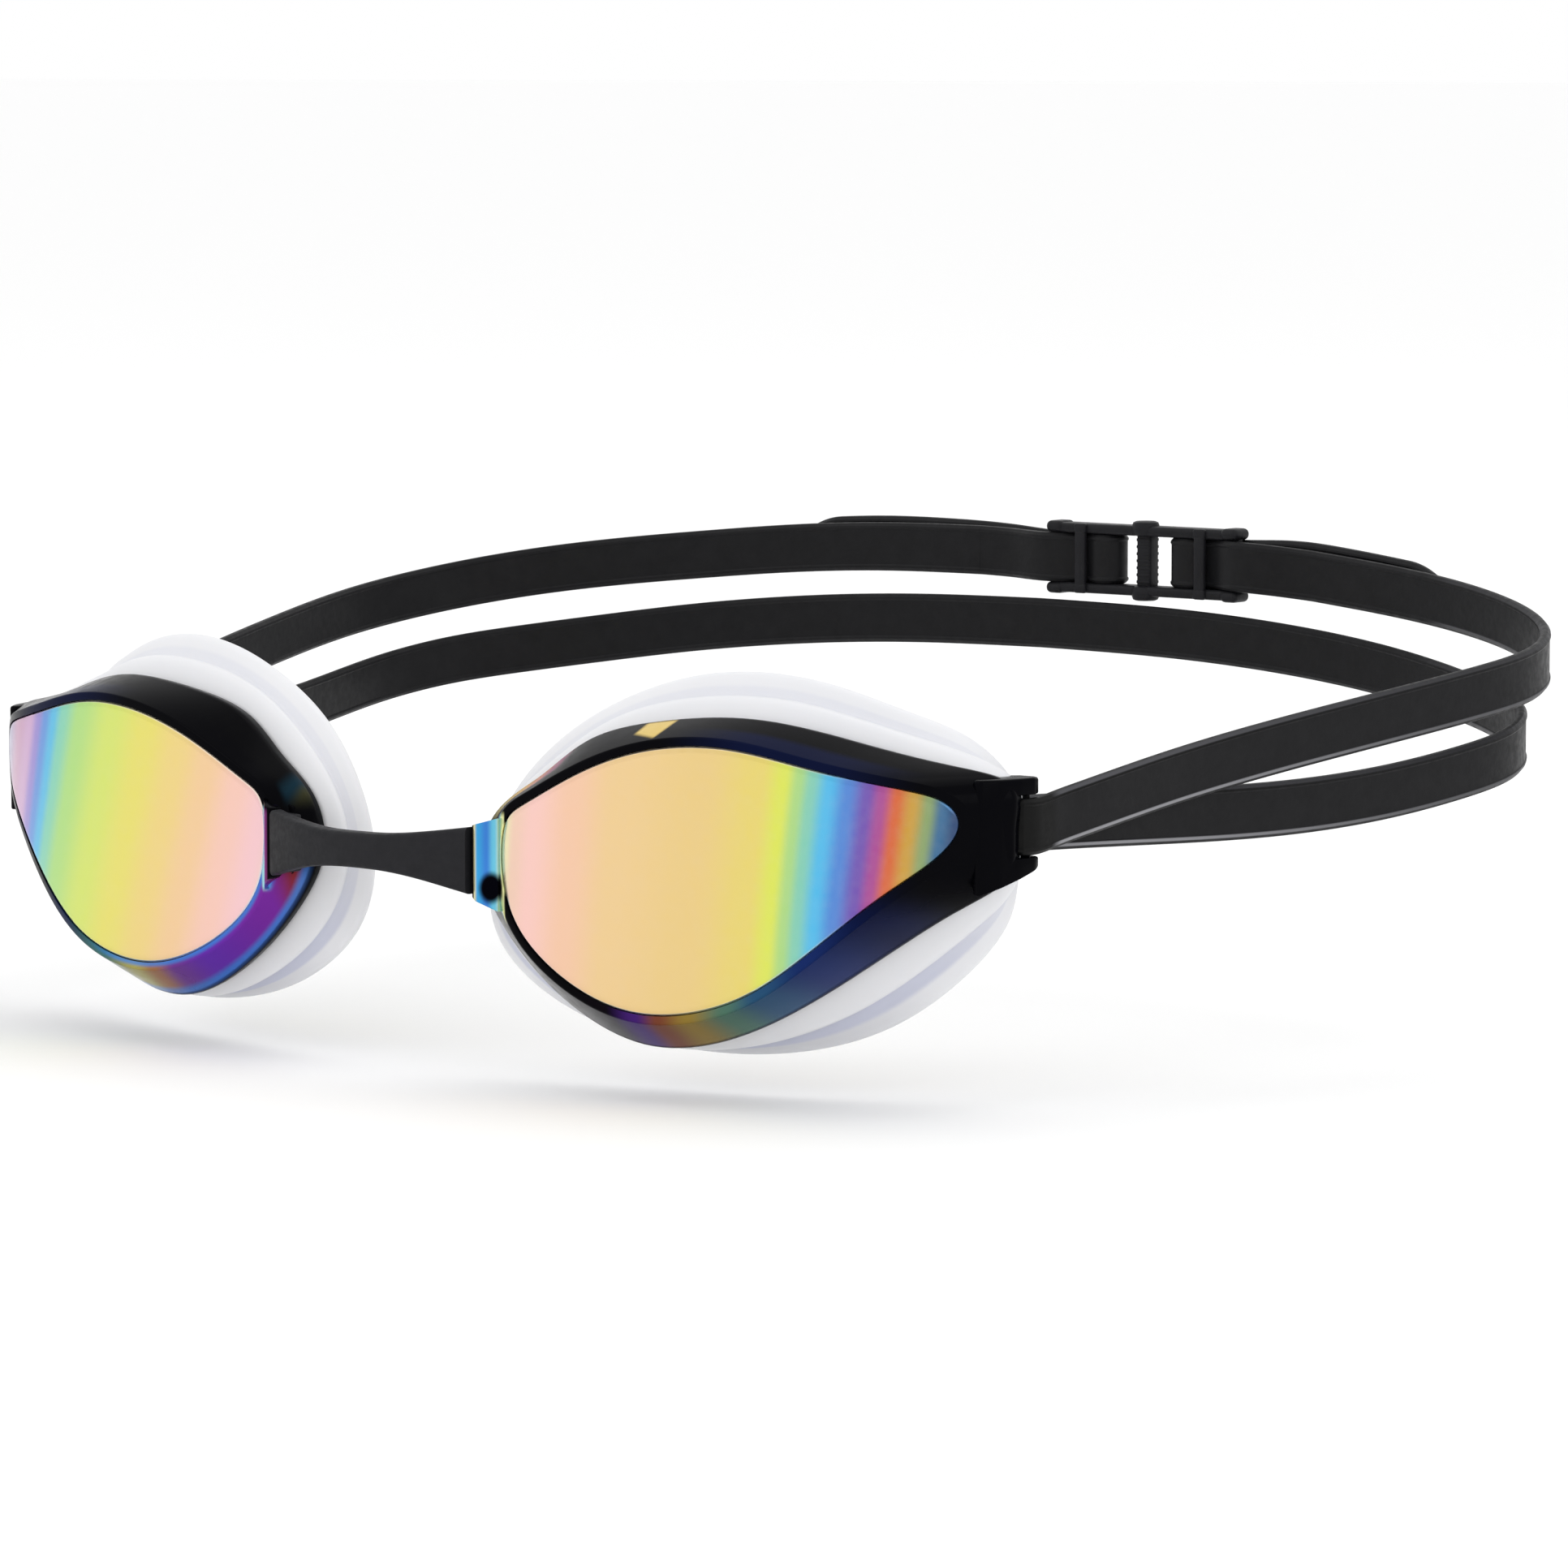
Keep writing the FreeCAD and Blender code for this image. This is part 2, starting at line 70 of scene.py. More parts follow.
UPPER = [(77.0, 25.6, 6.2), (77.5, 29.0, 6.85), (80.0, 46.0, 9.8), (84.0, 64.0, 12.6), (87.8, 80.0, 14.8),
         (90.3, 93.0, 16.5), (90.5, 104.0, 18.0), (87.0, 112.5, 19.6), (80.5, 118.8, 21.2),
         (70.0, 124.5, 22.9), (55.8, 128.8, 24.5), (41.3, 130.9, 25.8)]
LOWER = [(73.3, 25.6, 5.6), (74.0, 29.0, 5.5), (77.4, 46.0, 4.9), (81.6, 64.0, 4.6), (85.4, 80.0, 5.4),
         (87.8, 93.0, 6.9), (88.0, 103.5, 8.5), (84.7, 111.0, 10.0), (78.6, 116.8, 11.3),
         (68.8, 122.2, 12.9), (55.0, 126.4, 14.9), (42.0, 128.4, 16.3), (22.0, 129.4, 17.6), (0.0, 129.6, 18.0)]
BUCKLE = (15.3, 131.5, 26.6)
BUCKLE_HALF, BUCKLE_TALL, BUCKLE_RAIL = 14.7, 4.5, 1.3
END_BAR_U, INNER_BAR_U, WRAP_BAR_U, WRAP_W = 13.8, 9.3, 5.8, 0.6  # cross bars, from the middle of the buckle
BAR_Z = 3.6  # half the length of a cross bar
TAILS = {"left": [(21.5, 1.35, 0.2), (30.0, 0.5, -0.3), (38.0, -0.6, -1.1), (45.7, -2.2, -1.9)],
         "right": [(21.5, 1.5, 0.5), (33.0, 1.5, 0.9), (44.0, 1.5, 0.8), (55.3, 1.2, 0.1)]}


# ---- curves ----------------------------------------
def natural(points):
    """Smooth open curve through the points, by distance along them. Returns the curve and the points' places."""
    p = np.array(points, float)
    at = np.concatenate([[0.0], np.cumsum(np.linalg.norm(np.diff(p, axis=0), axis=1))])
    h = np.diff(at)
    n = len(p)
    a = np.eye(n)
    b = np.zeros_like(p)
    for i in range(1, n - 1):
        a[i, i - 1:i + 2] = h[i - 1], 2 * (h[i - 1] + h[i]), h[i]
        b[i] = 6 * ((p[i + 1] - p[i]) / h[i] - (p[i] - p[i - 1]) / h[i - 1])
    m = np.linalg.solve(a, b)

    def value(u):
        u = np.clip(np.atleast_1d(np.array(u, float)), at[0], at[-1])
        i = np.clip(np.searchsorted(at, u, side="right") - 1, 0, n - 2)
        s, e, w = (u - at[i])[:, None], (at[i + 1] - u)[:, None], h[i][:, None]
        return ((m[i] * e**3 + m[i + 1] * s**3) / (6 * w) + (p[i] / w - m[i] * w / 6) * e
                + (p[i + 1] / w - m[i + 1] * w / 6) * s)

    return value, at


def loop(points, samples):
    """Smooth closed curve through the points, with that many samples to each."""
    p = np.array(points, float)
    n = len(p)
    a = np.zeros((n, n))
    for i in range(n):
        a[i, i], a[i, i - 1], a[i, (i + 1) % n] = 4, 1, 1
    d = np.linalg.solve(a, 3 * (np.roll(p, -1, 0) - np.roll(p, 1, 0)))
    out = []
    for i in range(n):
        q, e = p[(i + 1) % n], d[(i + 1) % n]
        for k in range(samples):
            t = k / samples
            out.append((2 * t**3 - 3 * t**2 + 1) * p[i] + (t**3 - 2 * t**2 + t) * d[i]
                       + (3 * t**2 - 2 * t**3) * q + (t**3 - t**2) * e)
    return np.array(out)


def out(line, distance):
    """The outline grown by that much in the front view."""
    along = np.roll(line, -1, 0) - np.roll(line, 1, 0)
    flat = np.hypot(along[:, 0], along[:, 2])
    grown = line.copy()
    grown[:, 0] += distance * along[:, 2] / flat
    grown[:, 2] -= distance * along[:, 0] / flat
    return grown


def back(line, distance):
    return line + np.array([0.0, distance, 0.0])


wrap_curve, _ = natural([(x, y, 0) for x, y in WRAP])
wrap_table = wrap_curve(np.linspace(0, 80, 1600))


def face_y(x):
    return np.interp(x, wrap_table[:, 0], wrap_table[:, 1])


def on_face(line, behind=0.0):
    placed = line.copy()
    placed[:, 1] = face_y(line[:, 0]) + behind
    return placed


STEPS = 5  # points drawn round each corner of a section


def rounded_section(lines, radii):
    """Ring of points round each station: the section's corners, each rounded to its radius."""
    rows = []
    count = len(lines)
    for i in range(count):
        before, here, after = lines[i - 1], lines[i], lines[(i + 1) % count]
        sides = []
        for other in (before, after):
            gap = np.linalg.norm(other - here, axis=1, keepdims=True)
            sides.append(here + (other - here) / gap * np.minimum(radii[i], 0.46 * gap))
        for k in range(STEPS):
            t = k / (STEPS - 1)
            rows.append((1 - t)**2 * sides[0] + 2 * t * (1 - t) * here + t**2 * sides[1])
    return np.stack(rows, axis=1)


# ---- meshes ----------------------------------------
def metres(points):
    return [((x) / 1000, (y - SEAL) / 1000, z / 1000) for x, y, z in points]


def make(name, points, faces, flip=False, sharp=32.0, uv=None):
    mesh = bpy.data.meshes.new(name)
    if flip:
        points = [(-x, y, z) for x, y, z in points]
        faces = [tuple(reversed(f)) for f in faces]
    mesh.from_pydata(metres(points), [], faces)
    if uv is not None:
        layer = mesh.uv_layers.new(name="UVMap")
        for poly in mesh.polygons:
            for i in poly.loop_indices:
                layer.data[i].uv = uv[mesh.loops[i].vertex_index]
    mesh.validate()
    mesh.shade_smooth()
    mesh.set_sharp_from_angle(angle=math.radians(sharp))
    mesh.update()
    obj = bpy.data.objects.new(name, mesh)
    bpy.context.scene.collection.objects.link(obj)
    return obj


def ring_piece(name, grid, flip=False, sharp=32.0):
    """Closed ring from a grid of stations by section points."""
    n, m = grid.shape[:2]
    points = [tuple(p) for p in grid.reshape(-1, 3)]
    faces = []
    for i in range(n):
        for j in range(m):
            a, b = i * m, ((i + 1) % n) * m
            k = (j + 1) % m
            faces.append((a + j, a + k, b + k, b + j))
    corners = m // STEPS
    across = [(j // STEPS + (j % STEPS / (STEPS - 1) - 0.5) * 0.06) / corners for j in range(m)]
    uv = [(i / n, across[j]) for i in range(n) for j in range(m)]
    return make(name, points, faces, flip, sharp, uv)


def tube_piece(name, grid, caps=(True, True), flip=False, sharp=32.0, across=None):
    """Open run from a grid of stations by section points, with its ends closed if asked."""
    n, m = grid.shape[:2]
    points = [tuple(p) for p in grid.reshape(-1, 3)]
    faces = []
    for i in range(n - 1):
        for j in range(m):
            k = (j + 1) % m
            faces.append((i * m + j, (i + 1) * m + j, (i + 1) * m + k, i * m + k))
    if caps[0]:
        faces.append(tuple(range(m)))
    if caps[1]:
        faces.append(tuple(reversed(range((n - 1) * m, n * m))))
    uvs = [(i / n, across[j] if across else j / m) for i in range(n) for j in range(m)]
    return make(name, points, faces, flip, sharp, uvs)


def box_piece(low, high, radius, segments=3):
    """Box between two corners, with every edge rounded."""
    bm = bmesh.new()
    bmesh.ops.create_cube(bm, size=1)
    for v in bm.verts:
        v.co = Vector([low[i] + (v.co[i] + 0.5) * (high[i] - low[i]) for i in range(3)])
    bmesh.ops.bevel(bm, geom=list(bm.edges), offset=radius, segments=segments, profile=0.5, affect="EDGES")
    return bm


def prism(plan, low, high, radius, axis=2, segments=3):
    """Outline extruded along an axis, with every edge rounded."""
    bm = bmesh.new()
    ends = []
    for level in (low, high):
        ends.append([bm.verts.new(p[:axis] + (level,) + p[axis:]) for p in plan])
    bm.faces.new(ends[0])
    bm.faces.new(list(reversed(ends[1])))
    for i in range(len(plan)):
        k = (i + 1) % len(plan)
        bm.faces.new((ends[0][k], ends[0][i], ends[1][i], ends[1][k]))
    bmesh.ops.recalc_face_normals(bm, faces=bm.faces)
    if radius:
        bmesh.ops.bevel(bm, geom=list(bm.edges), offset=radius, segments=segments, profile=0.5,
                        affect="EDGES", clamp_overlap=True)
    return bm


def rod(centre, radius, low, high, edge, axis=2, sides=40):
    """Upright round bar with rounded ends."""
    plan = [(radius * math.cos(2 * math.pi * i / sides), radius * math.sin(2 * math.pi * i / sides))
            for i in range(sides)]
    levels = [(low, radius - edge), (low + edge * 0.3, radius - edge * 0.3), (low + edge, radius),
              (high - edge, radius), (high - edge * 0.3, radius - edge * 0.3), (high, radius - edge)]
    bm = bmesh.new()
    rows = []
    for level, r in levels:
        places = [(centre[0] + x * r / radius, centre[1] + y * r / radius, level) for x, y in plan]
        rows.append([bm.verts.new(place) for place in places])
    for a, b in zip(rows, rows[1:]):
        for i in range(sides):
            k = (i + 1) % sides
            bm.faces.new((a[i], a[k], b[k], b[i]))
    bm.faces.new(list(reversed(rows[0])))
    bm.faces.new(rows[-1])
    return bm


def joined(name, solids, flip=False, sharp=35.0, offset=(0, 0, 0)):
    points, faces = [], []
    for bm in solids:
        bm.verts.index_update()
        start = len(points)
        points += [tuple(v.co + Vector(offset)) for v in bm.verts]
        faces += [tuple(start + v.index for v in f.verts) for f in bm.faces]
        bm.free()
    return make(name, points, faces, flip, sharp, [(0.5, 0.5)] * len(points))


def carved(name, bm, cutters, flip=False, radius=0.0):
    """A solid less some others, its new edges slightly rounded."""
    obj = joined(name, [bm])
    for i, cutter in enumerate(cutters):
        tool = joined(name + "_cut%d" % i, [cutter])
        mod = obj.modifiers.new("cut%d" % i, "BOOLEAN")
        mod.operation, mod.solver, mod.object = "DIFFERENCE", "EXACT", tool
    if radius:
        bevel = obj.modifiers.new("soft", "BEVEL")
        bevel.width, bevel.segments, bevel.limit_method = radius / 1000, 2, "ANGLE"
        bevel.angle_limit = math.radians(40)
    graph = bpy.context.evaluated_depsgraph_get()
    mesh = bpy.data.meshes.new_from_object(obj.evaluated_get(graph))
    result = bmesh.new()
    result.from_mesh(mesh)
    for v in result.verts:
        v.co = Vector((v.co.x * 1000, v.co.y * 1000 + SEAL, v.co.z * 1000))
    for mod in list(obj.modifiers):
        if mod.type == "BOOLEAN":
            bpy.data.objects.remove(mod.object)
    bpy.data.objects.remove(obj)
    return result


# ---- materials ----------------------------------------
def colour(text):
    """Linear colour from a hexadecimal one."""
    parts = [int(text[i:i + 2], 16) / 255 for i in (0, 2, 4)]
    return [c / 12.92 if c <= 0.04045 else ((c + 0.055) / 1.055)**2.4 for c in parts] + [1.0]


class Material:
    def __init__(self, name, **sockets):
        self.mat = bpy.data.materials.new(name)
        self.mat.use_nodes = True
        self.tree = self.mat.node_tree
        self.shader = self.tree.nodes["Principled BSDF"]
        for key, value in sockets.items():
            self.shader.inputs[key.replace("_", " ")].default_value = value

    def node(self, kind, inputs=None, **props):
        made = self.tree.nodes.new(kind)
        for key, value in props.items():
            setattr(made, key, value)
        for key, value in (inputs or {}).items():
            if hasattr(value, "node"):
                self.tree.links.new(value, made.inputs[key])
            else:
                made.inputs[key].default_value = value
        return made

    def link(self, output, socket):
        self.tree.links.new(output, self.shader.inputs[socket])

    def place(self):
        """Place on the object in millimetres, by axis, measured as the shapes are."""
        coords = self.node("ShaderNodeTexCoord").outputs["Object"]
        parts = self.node("ShaderNodeSeparateXYZ", {0: coords})
        x = self.math("MULTIPLY", parts.outputs[0], 1000.0)
        y = self.math("MULTIPLY_ADD", parts.outputs[1], 1000.0, SEAL)
        return x, y, self.math("MULTIPLY", parts.outputs[2], 1000.0)

    def math(self, operation, *values):
        return self.node("ShaderNodeMath", dict(enumerate(values)), operation=operation).outputs[0]

    def window(self, value, low, high, to_low=0.0, to_high=1.0):
        return self.node("ShaderNodeMapRange", {0: value, 1: low, 2: high, 3: to_low, 4: to_high},
                         interpolation_type="SMOOTHSTEP", clamp=True).outputs[0]

    def bands(self, value, stops):
        """Colours along a line, each at its own place."""
        low, high = stops[0][0], stops[-1][0]
        share = self.node("ShaderNodeMapRange", {0: value, 1: low, 2: high}).outputs[0]
        ramp = self.node("ShaderNodeValToRGB", {0: share})
        ramp.color_ramp.interpolation = "EASE"
        while len(ramp.color_ramp.elements) < len(stops):
            ramp.color_ramp.elements.new(0.5)
        for element, (at, tint) in zip(ramp.color_ramp.elements, stops):
            element.position = (at - low) / (high - low)
        for element, (at, tint) in zip(ramp.color_ramp.elements, stops):
            element.color = colour(tint)
        return ramp.outputs[0]

    def mix(self, share, a, b):
        mixed = self.node("ShaderNodeMix", data_type="RGBA")
        for index, value in ((0, share), (6, a), (7, b)):
            if hasattr(value, "node"):
                self.tree.links.new(value, mixed.inputs[index])
            else:
                mixed.inputs[index].default_value = value
        return mixed.outputs[2]

    def across(self):
        """Place across the section of a ring or a strap, from its UV."""
        coords = self.node("ShaderNodeTexCoord").outputs["UV"]
        return self.node("ShaderNodeSeparateXYZ", {0: coords}).outputs[1]

    def noise(self, scale, detail=3.0):
        coords = self.node("ShaderNodeTexCoord").outputs["Object"]
        return self.node("ShaderNodeTexNoise", {"Vector": coords, "Scale": scale, "Detail": detail}).outputs[0]

    def bump(self, height, strength, distance):
        made = self.node("ShaderNodeBump", {"Height": height, "Strength": strength, "Distance": distance})
        self.link(made.outputs[0], "Normal")


def mirror_coat(name, stops, slant):
    """Rainbow mirror film: pink and gold over the eye, running through the spectrum where the lens wraps."""
    m = Material(name, Metallic=0.82, Coat_Weight=0.25, Coat_Roughness=0.05)
    x, y, z = m.place()
    wobble = m.math("MULTIPLY_ADD", m.noise(60.0, 2.0), 0.8, -0.4)
    across = m.math("ADD", m.math("MULTIPLY_ADD", z, slant, m.math("ABSOLUTE", x)), wobble)
    tint = m.bands(across, stops)
    grain = m.noise(900.0, 2.0)
    inward = m.across()
    # Painted highlight: a thin bright line along the lens edge, cooler below and warmer above, fading out
    # towards the temple tip.
    edge = m.math("MULTIPLY", m.window(inward, 0.1, 0.25), m.window(inward, 0.4, 0.7, 1.0, 0.0))
    edge = m.math("MULTIPLY", edge, m.window(m.math("ABSOLUTE", x), 56.0, 64.0, 1.0, 0.0))
    edge_highlight_tint = m.mix(m.window(z, -2.0, 4.0), colour("cfeaf2"), colour("fff4e2"))
    tint = m.mix(m.math("MULTIPLY", edge, 0.7), tint, edge_highlight_tint)
    m.link(m.mix(m.math("MULTIPLY", grain, 0.06), tint, (1, 1, 1, 1)), "Base Color")
    m.link(m.window(grain, 0.3, 0.7, 0.14, 0.22), "Roughness")
    return m.mat


def rim_gloss(name, low_bevel, top_bevel, nose, nose_z, hook_shade_spot, patch_share, edge_share):
    """Gloss dark moulding. Its lower front bevel, and spots on its upper one, still carry the mirror film."""
    m = Material(name, Coat_Weight=0.0, IOR=1.5, Specular_IOR_Level=0.025)
    x, y, z = m.place()
    side = m.math("ABSOLUTE", x)
    uv = m.across()
    place = m.math("ADD", side, m.math("MULTIPLY_ADD", m.noise(90.0, 2.0), 1.6, -0.8))
    film = m.bands(place, low_bevel)
    below = m.window(z, -5.5, -1.0, 1.0, 0.0)
    bevel = m.window(uv, 0.238, 0.252, 1.0, 0.0)
    edge = m.math("MAXIMUM", m.window(uv, 0.02, 0.12, 1.0, 0.0), m.window(uv, 0.205, 0.235))
    edge = m.math("MULTIPLY", edge, m.window(side, 42.0, 50.0, edge_share, 0.0))
    film = m.mix(edge, film, colour("2f7fd0"))
    dark = colour("050508")
    sheen = m.math("MULTIPLY", m.window(side, 40, 52), m.window(side, 60, 70, 1.0, 0.0))
    sheen = m.mix(sheen, dark, colour("0b1230"))
    outer = m.math("MULTIPLY", m.window(uv, 0.165, 0.195), m.window(uv, 0.26, 0.28, 1.0, 0.0))
    above = m.math("MULTIPLY", m.window(z, 3.0, 6.0), outer)
    spot = m.bands(place, top_bevel)
    body = m.mix(above, sheen, spot)
    patch = m.math("MULTIPLY", m.window(place, 34.6, 35.4), m.window(place, 38.6, 39.2, 1.0, 0.0))
    patch = m.math("MULTIPLY", patch, m.math("MULTIPLY", m.window(z, 8.0, 10.0), bevel))
    patch = m.math("MULTIPLY", patch, m.window(m.math("ADD", uv, m.math("MULTIPLY", side, 0.012)), 0.60, 0.62))
    patch = m.math("MULTIPLY", patch, patch_share)
    body = m.mix(patch, body, colour("dfbf5c"))
    low = m.math("MULTIPLY", below, bevel)
    body = m.mix(low, body, film)
    strip = m.bands(side, nose)
    # Painted shade: a dark round spot on the nose strip where the bridge hook's lower end sits. The right cup's
    # spot is placed below the part and shows nowhere.
    dx = m.math("DIVIDE", m.math("SUBTRACT", side, hook_shade_spot[0]), 0.9)
    dz = m.math("DIVIDE", m.math("SUBTRACT", z, hook_shade_spot[1]), 1.7)
    hook_shade_falloff = m.math("ADD", m.math("MULTIPLY", dx, dx), m.math("MULTIPLY", dz, dz))
    strip = m.mix(m.window(hook_shade_falloff, 0.5, 1.6, 1.0, 0.0), strip, colour("04040a"))
    at_nose = m.window(z, nose_z[1], nose_z[1] + 1.0, 1.0, 0.0)
    at_nose = m.math("MULTIPLY", m.window(side, 18.4, 18.7, 1.0, 0.0), at_nose)
    at_nose = m.math("MULTIPLY", at_nose, m.window(z, nose_z[0] - 1.0, nose_z[0]))
    at_nose = m.math("MULTIPLY", at_nose, m.window(y, 0.3, 0.9, 1.0, 0.0))
    at_nose = m.math("MULTIPLY", at_nose, m.window(side, 15.7, 15.95))
    body = m.mix(at_nose, body, strip)
    m.link(body, "Base Color")
    shiny = m.math("MAXIMUM", m.math("MAXIMUM", low, at_nose), patch)
    m.link(m.math("MULTIPLY", shiny, 0.7), "Metallic")
    m.link(m.window(m.noise(700.0, 2.0), 0.3, 0.7, 0.16, 0.26), "Roughness")
    return m.mat


def soft_white(name):
    m = Material(name, Roughness=0.42, Subsurface_Weight=0.35, Subsurface_Scale=0.004, IOR=1.42,
                 Coat_Weight=0.15, Coat_Roughness=0.3)
    m.shader.inputs["Subsurface Radius"].default_value = (1.0, 0.95, 0.9)
    uv = m.across()
    x, y, z = m.place()
    # Painted shade: a blue-grey line along the groove between the base ring and the flange lip, stronger towards
    # the bottom.
    groove_shade = m.math("MULTIPLY", m.window(uv, 0.125, 0.175), m.window(uv, 0.19, 0.235, 1.0, 0.0))
    skin = m.mix(m.noise(45.0, 3.0), colour("e6e6e8"), colour("dcdde1"))
    shaded = m.math("MULTIPLY", m.window(z, -21.0, -12.0, 0.4, 0.0), m.window(uv, 0.08, 0.25))
    skin = m.mix(shaded, skin, colour("a4a5ac"))
    groove_shade = m.math("MULTIPLY", groove_shade, m.window(z, -14.0, 0.0, 0.5, 0.12))
    m.link(m.mix(groove_shade, skin, colour("a6abc8")), "Base Color")
    m.bump(m.noise(1400.0, 3.0), 0.12, 0.0001)
    return m.mat


def dark_soft(name, shade, rough, grain, lines=()):
    m = Material(name, IOR=1.45, Specular_IOR_Level=0.16)
    lighter = [min(1.0, c * 1.5 + 0.003) for c in colour(shade)[:3]] + [1.0]
    tint = m.mix(m.noise(grain, 4.0), colour(shade), lighter)
    uv = m.across()
    x, y, z = m.place()
    painted_line_reach = m.math("MULTIPLY", m.window(x, 60.0, 66.0), m.window(y, 30.0, 100.0, 1.0, 0.3))
    # Painted highlight and shade: light and dark lines along the band's edges on the +X side runs, strongest by
    # the temple and fading towards the back.
    for at, half, shade in lines:
        off = m.math("ABSOLUTE", m.math("SUBTRACT", uv, at))
        tint = m.mix(m.math("MULTIPLY", m.window(off, half * 0.4, half, 1.0, 0.0), painted_line_reach), tint, colour(shade))
    # Painted shade: the strap turns near-black where it folds round the bar inside the temple fork.
    if lines:
        tint = m.mix(m.window(y, 24.5, 26.5, 1.0, 0.0), tint, colour("040404"))
    m.link(tint, "Base Color")
    m.link(m.window(m.noise(grain * 2.3, 3.0), 0.3, 0.7, rough - 0.06, rough + 0.07), "Roughness")
    m.bump(m.noise(grain * 3.0, 4.0), 0.25, 0.00012)
    return m.mat


LENS_LEFT = mirror_coat("mirror_lens_left", [
    (18.5, "e6dfae"), (20.0, "e9c4ae"), (22.5, "f0c2b8"), (28.0, "ecbf9f"), (34.0, "e6c48a"), (45.0, "e2c37c"),
    (52.0, "dfcb68"), (54.8, "d4dc50"), (56.4, "a4cf7c"), (57.8, "7cc4ac"), (59.6, "48b2e0"), (61.6, "4a80cc"),
    (63.6, "6a4aa8"), (65.0, "a2408c"), (66.4, "cf5e2a"), (68.0, "c29530"), (69.4, "829a60"), (70.6, "2a628c"),
    (71.9, "143a68"), (72.8, "081224")], -0.1)
LENS_RIGHT = mirror_coat("mirror_lens_right", [
    (15.0, "e4d0b8"), (19.0, "edc0c4"), (24.0, "eec0b0"), (29.5, "eac392"), (35.0, "e6cb7a"), (41.0, "dfd564"),
    (47.5, "cddb64"), (54.0, "a8d478"), (57.4, "7cc8ac"), (59.4, "46b2da"), (61.4, "5088d0"), (63.2, "8a78c4"),
    (65.4, "c094be"), (69.0, "b47aa0"), (74.0, "5a4a90")], 0.3)
RIM_LEFT = rim_gloss("rim_gloss_left", [
    (28.0, "060608"), (33.0, "0c080e"), (37.0, "40206c"), (40.0, "74402e"), (44.0, "8c7434"), (48.5, "4c7060"),
    (52.5, "284e70"), (58.0, "182a60"), (65.0, "0c1438"), (71.0, "050508")],
    [(12.0, "6a6a4a"), (16.5, "a89a60"), (19.0, "d0a862"), (21.5, "c0806a"), (23.5, "8a4a66"), (25.5, "08080c"),
     (60.0, "050508")],
    [(15.2, "16202c"), (16.0, "d8d0a0"), (16.3, "3f9fd8"), (17.0, "3f7fd0"), (17.6, "6ac0dc"), (18.3, "e4e4a4")],
    (-7.0, 4.6), (17.35, -3.3), 1.0, 0.0)
RIM_RIGHT = rim_gloss("rim_gloss_right", [
    (12.0, "4a2020"), (15.0, "802c34"), (18.0, "742c98"), (28.0, "6430a8"), (33.0, "6c3890"), (36.5, "9a6a4a"),
    (40.0, "a8a058"), (46.0, "3a6a68"), (54.0, "101e40"), (60.0, "050508")],
    [(12.0, "20262a"), (14.5, "3c3c28"), (16.0, "142c38"), (18.0, "060608"), (60.0, "050508")],
    [(15.2, "2c1c3c"), (15.9, "7a3a70"), (16.4, "7a3090"), (17.2, "4f5fc0"), (17.9, "4fa0e0"), (18.3, "9fd0d8")],
    (-5.6, 3.0), (17.2, -30.0), 0.0, 0.75)
WHITE = soft_white("gasket_silicone")
# The strap's lines are painted: a light highlight line on the lower raised line, a dark shade line on the upper
# one and a grey highlight line on the upper chamfer.
STRAP = dark_soft("strap_silicone", "0f0f11", 0.42, 420.0, [(0.09, 0.04, "8c8c90"), (0.90, 0.02, "040404"),
                                                               (0.96, 0.04, "48484c")])
BRIDGE = dark_soft("bridge_plastic", "1a1a1d", 0.5, 600.0)
BUCKLE_MAT = dark_soft("buckle_plastic", "151518", 0.42, 500.0)


def dress(obj, mat, body, nodes=()):
    obj.data.materials.clear()
    obj.data.materials.append(mat)
    if body:
        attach(obj, body)
    if nodes:
        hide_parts(*nodes)
    return obj


# ---- eye cups ----------------------------------------
PER = 10
face_line = loop([(x, 0.0, z) for x, z in FACE], PER)
rim_line = loop(RIM, PER)
flange_line = loop(FLANGE, PER)


